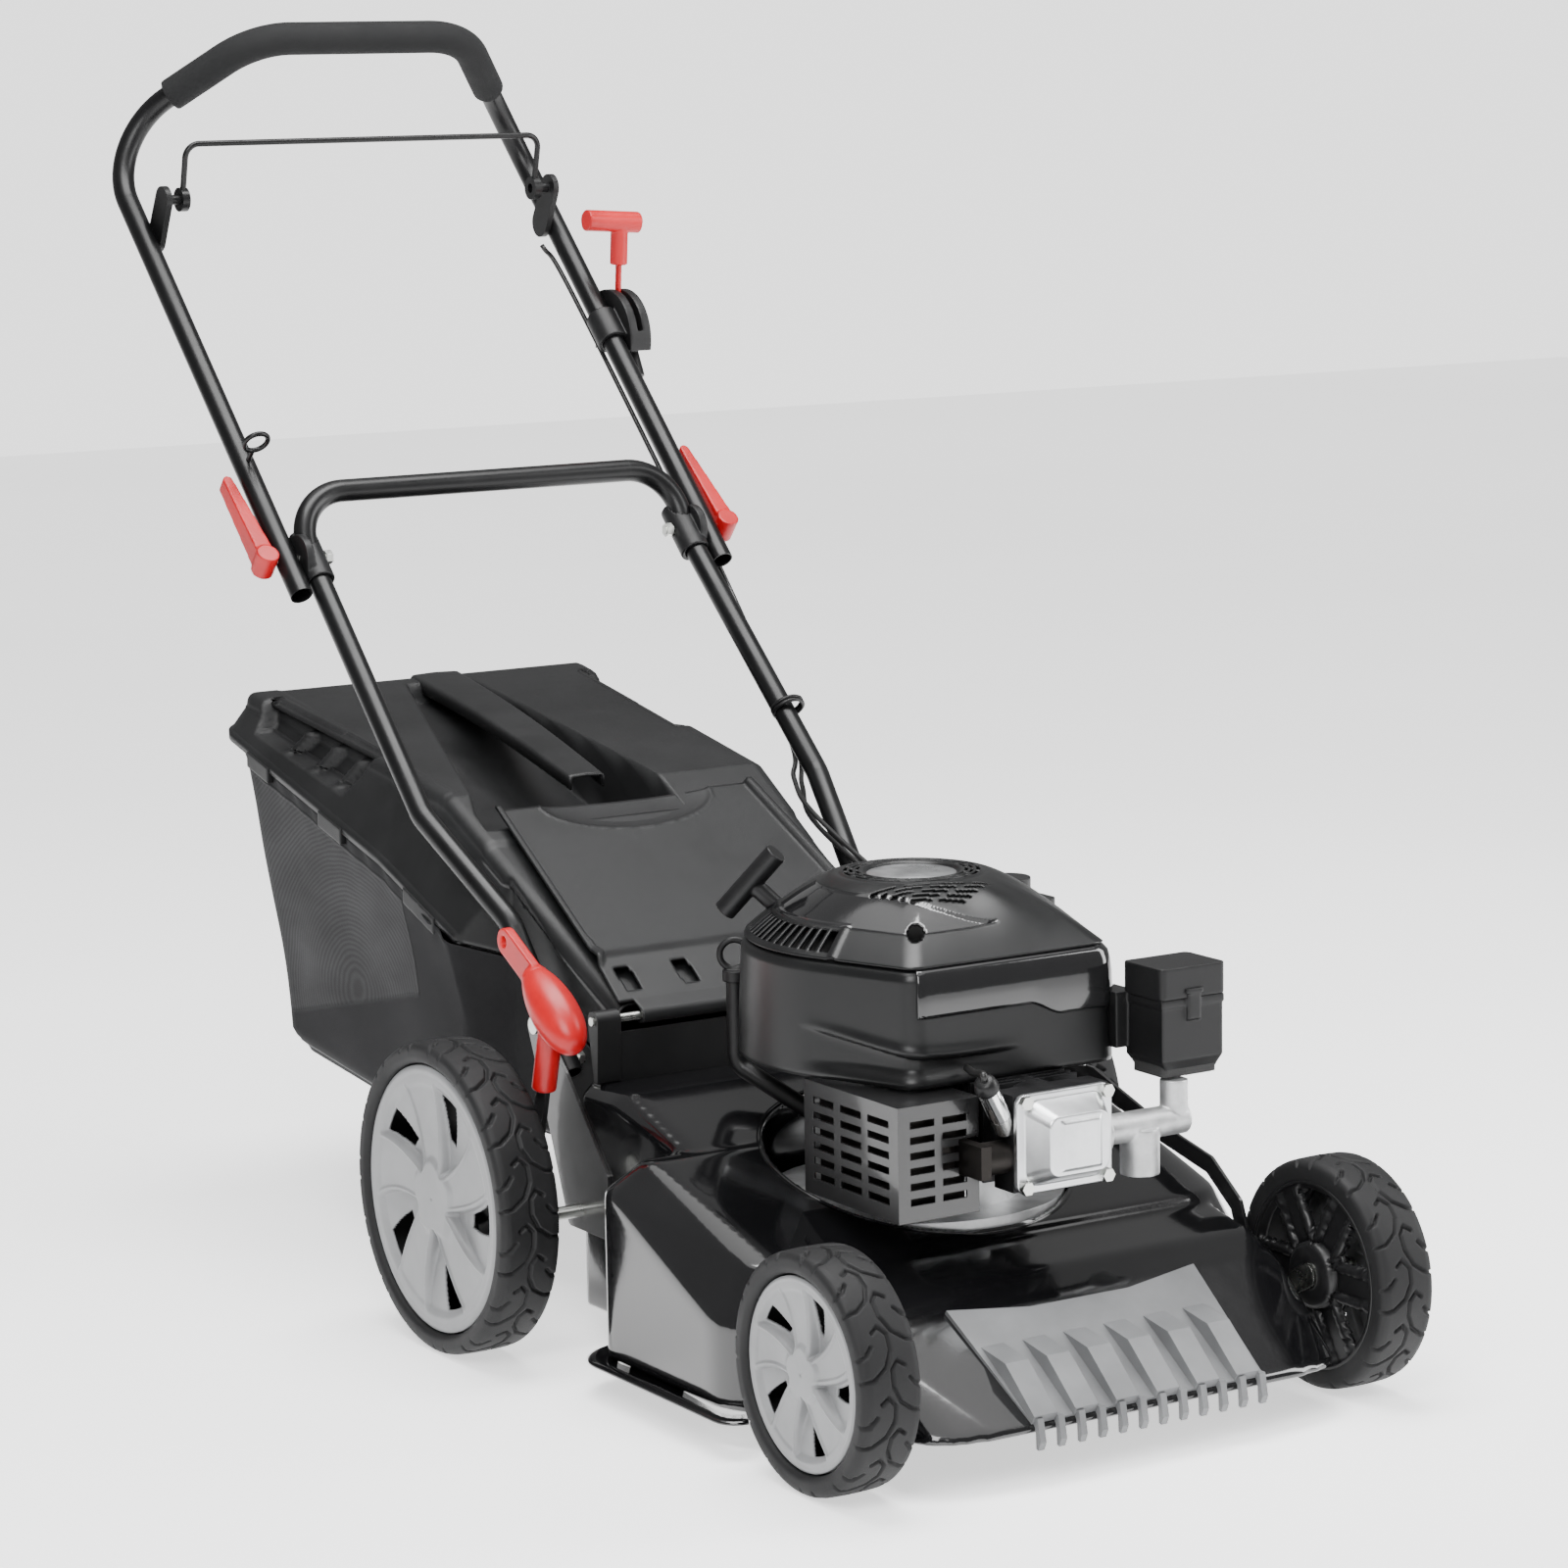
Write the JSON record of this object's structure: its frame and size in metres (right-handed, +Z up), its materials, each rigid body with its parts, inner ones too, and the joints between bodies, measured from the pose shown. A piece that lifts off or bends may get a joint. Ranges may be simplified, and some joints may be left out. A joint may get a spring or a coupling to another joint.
{
  "type": "push lawn mower",
  "caption": "Walk-behind petrol rotary lawn mower with folding tube handle, stop bail, throttle, height-setting lever, discharge flap and rear fabric grass catcher.",
  "frame": {"origin": "middle of the footprint at ground level", "axes": "+Z up, the mower faces -Y, +X is the mower's left, with the throttle"},
  "size_m": [0.662, 1.4548, 1.1737],
  "materials": {
    "deck_paint": "gloss black enamel",
    "bracket_paint": "satin black enamel",
    "tube_paint": "satin black powder coat",
    "guard_plastic": "silver-grey moulding",
    "black_plastic": "fine-grained black moulding",
    "zinc_steel": "zinc-plated",
    "cable_sheath": "satin sheath",
    "cast_aluminium": "as cast",
    "cylinder_iron": "black coated fins",
    "cover_steel": "pressed, bright",
    "plug_steel": "plated",
    "boot_chrome": "bright",
    "muffler_steel": "heat-dulled",
    "filter_foam": "open foam",
    "shroud_grey": "satin dark grey",
    "visor_black": "gloss black",
    "tank_black": "blow-moulded black",
    "forged_steel": "machined",
    "blade_steel": "ground edges",
    "tyre_black": "moulded tread",
    "hubcap_silver": "silver satin",
    "red_plastic": "red satin",
    "grip_foam": "matt foam",
    "bag_fabric": "woven black"
  },
  "bodies": {
    "chassis": {"deck": "deck_paint", "front_guard": "guard_plastic", "chute_plate": "black_plastic", "flap_rod": "zinc_steel", "flap_spring": "zinc_steel", "rear_brackets": "bracket_paint", "lower_handle": "tube_paint", "handle_bolts": "zinc_steel", "knuckles": "black_plastic", "brake_cable": "cable_sheath", "throttle_cable": "cable_sheath", "crankcase": "cast_aluminium", "cylinder": "cylinder_iron", "valve_cover": "cover_steel", "valve_cover_bolts": "zinc_steel", "spark_plug": "plug_steel", "plug_boot": "boot_chrome", "muffler": "muffler_steel", "muffler_guard": "bracket_paint", "carburettor": "cast_aluminium", "air_filter_box": "black_plastic", "air_filter_element": "filter_foam", "blower_housing": "shroud_grey", "top_cover": "visor_black", "fuel_tank": "tank_black", "oil_filler_tube": "black_plastic"},
    "crank": {"crankshaft": "forged_steel", "flywheel": "cast_aluminium", "blade_adapter": "forged_steel", "blade": "blade_steel", "blade_bolt": "zinc_steel"},
    "rear_axle": {"rear_axle": "zinc_steel", "height_lever": "bracket_paint", "height_grip": "red_plastic"},
    "front_axle": {"front_axle": "zinc_steel"},
    "height_link": {"height_link": "bracket_paint"},
    "wheel_rear_left": {"wheel_rear_left": "tyre_black", "hubcap_rear_left": "hubcap_silver"},
    "wheel_rear_right": {"wheel_rear_right": "tyre_black", "hubcap_rear_right": "hubcap_silver"},
    "wheel_front_left": {"wheel_front_left": "tyre_black", "hubcap_front_left": "hubcap_silver"},
    "wheel_front_right": {"wheel_front_right": "tyre_black", "hubcap_front_right": "hubcap_silver"},
    "upper_handle": {"upper_handle": "tube_paint", "foam_grip": "grip_foam", "bail_brackets": "black_plastic", "throttle_housing": "black_plastic", "rope_guide": "tube_paint"},
    "bail": {"bail": "tube_paint"},
    "throttle_lever": {"throttle_lever": "red_plastic"},
    "clamp_lever_left": {"clamp_lever_left": "red_plastic"},
    "clamp_lever_right": {"clamp_lever_right": "red_plastic"},
    "catcher": {"catcher_lid": "black_plastic", "catcher_bag": "bag_fabric"},
    "flap": {"discharge_flap": "black_plastic"},
    "starter_grip": {"starter_grip": "black_plastic"},
    "fuel_cap": {"fuel_cap": "black_plastic"},
    "dipstick": {"dipstick": "black_plastic"},
    "air_filter_lid": {"air_filter_lid": "black_plastic"}
  },
  "joints": [
    {"name": "blade_spin", "type": "hinge", "parent": "chassis", "child": "crank", "pos_m": [0, -0.36742, 0.1], "axis": [0, 0, 1], "continuous": true},
    {"name": "height_adjust", "type": "hinge", "parent": "chassis", "child": "rear_axle", "pos_m": [0, -0.12516, 0.11887], "axis": [-1, 0, 0], "range_deg": [0, 56]},
    {"name": "front_height", "type": "hinge", "parent": "chassis", "child": "front_axle", "pos_m": [0, -0.58769, 0.07887], "axis": [1, 0, 0], "range_deg": [0, 56]},
    {"name": "link_swing", "type": "hinge", "parent": "rear_axle", "child": "height_link", "pos_m": [0.2198, -0.13455, 0.13653], "axis": [-1, 0, 0], "range_deg": [-56, 0]},
    {"name": "wheel_rear_left_spin", "type": "hinge", "parent": "rear_axle", "child": "wheel_rear_left", "pos_m": [0.302, -0.08542, 0.14], "axis": [1, 0, 0], "continuous": true},
    {"name": "wheel_rear_right_spin", "type": "hinge", "parent": "rear_axle", "child": "wheel_rear_right", "pos_m": [-0.302, -0.08542, 0.14], "axis": [1, 0, 0], "continuous": true},
    {"name": "wheel_front_left_spin", "type": "hinge", "parent": "front_axle", "child": "wheel_front_left", "pos_m": [0.259, -0.62742, 0.1], "axis": [1, 0, 0], "continuous": true},
    {"name": "wheel_front_right_spin", "type": "hinge", "parent": "front_axle", "child": "wheel_front_right", "pos_m": [-0.259, -0.62742, 0.1], "axis": [1, 0, 0], "continuous": true},
    {"name": "handle_fold", "type": "hinge", "parent": "chassis", "child": "upper_handle", "pos_m": [0, 0.35658, 0.664], "axis": [1, 0, 0], "range_deg": [0, 130], "deforming": ["brake_cable", "throttle_cable"]},
    {"name": "bail_squeeze", "type": "hinge", "parent": "upper_handle", "child": "bail", "pos_m": [0, 0.63558, 1], "axis": [-1, 0, 0], "range_deg": [0, 55], "stiffness_Nm_per_rad": 0.6, "springref_deg": -20.05},
    {"name": "throttle_swing", "type": "hinge", "parent": "upper_handle", "child": "throttle_lever", "pos_m": [0.258, 0.56858, 0.845], "axis": [1, 0, 0], "range_deg": [0, 60]},
    {"name": "clamp_left", "type": "hinge", "parent": "chassis", "child": "clamp_lever_left", "pos_m": [0.2563, 0.35658, 0.664], "axis": [0, 0.6428, -0.766], "range_deg": [0, 100]},
    {"name": "clamp_right", "type": "hinge", "parent": "chassis", "child": "clamp_lever_right", "pos_m": [-0.2563, 0.35658, 0.664], "axis": [0, -0.6428, 0.766], "range_deg": [0, 100]},
    {"name": "catcher_lift_off", "type": "slide", "parent": "chassis", "child": "catcher", "axis": [0, 0.8829, 0.4695], "range_m": [0, 0.25]},
    {"name": "flap_lift", "type": "hinge", "parent": "chassis", "child": "flap", "pos_m": [0, -0.13942, 0.292], "axis": [1, 0, 0], "range_deg": [0, 60], "stiffness_Nm_per_rad": 0.5, "springref_deg": -34.38},
    {"name": "starter_pull", "type": "slide", "parent": "chassis", "child": "starter_grip", "axis": [-0.5496, 0.4997, 0.6695], "range_m": [0, 0.5], "stiffness_N_per_m": 12, "springref_m": -0.15},
    {"name": "fuel_cap_turn", "type": "hinge", "parent": "chassis", "child": "fuel_cap", "pos_m": [0.152, -0.29242, 0.4], "axis": [0, 0, 1], "range_deg": [0, 90]},
    {"name": "dipstick_pull", "type": "slide", "parent": "chassis", "child": "dipstick", "axis": [0, 0, 1], "range_m": [0, 0.12]},
    {"name": "filter_lid_open", "type": "hinge", "parent": "chassis", "child": "air_filter_lid", "pos_m": [0.145, -0.51912, 0.345], "axis": [-1, 0, 0], "range_deg": [0, 50]}
  ],
  "couplings": [
    {"joint": "front_height", "follows": "height_adjust", "ratio": 1},
    {"joint": "link_swing", "follows": "height_adjust", "ratio": -1}
  ]
}
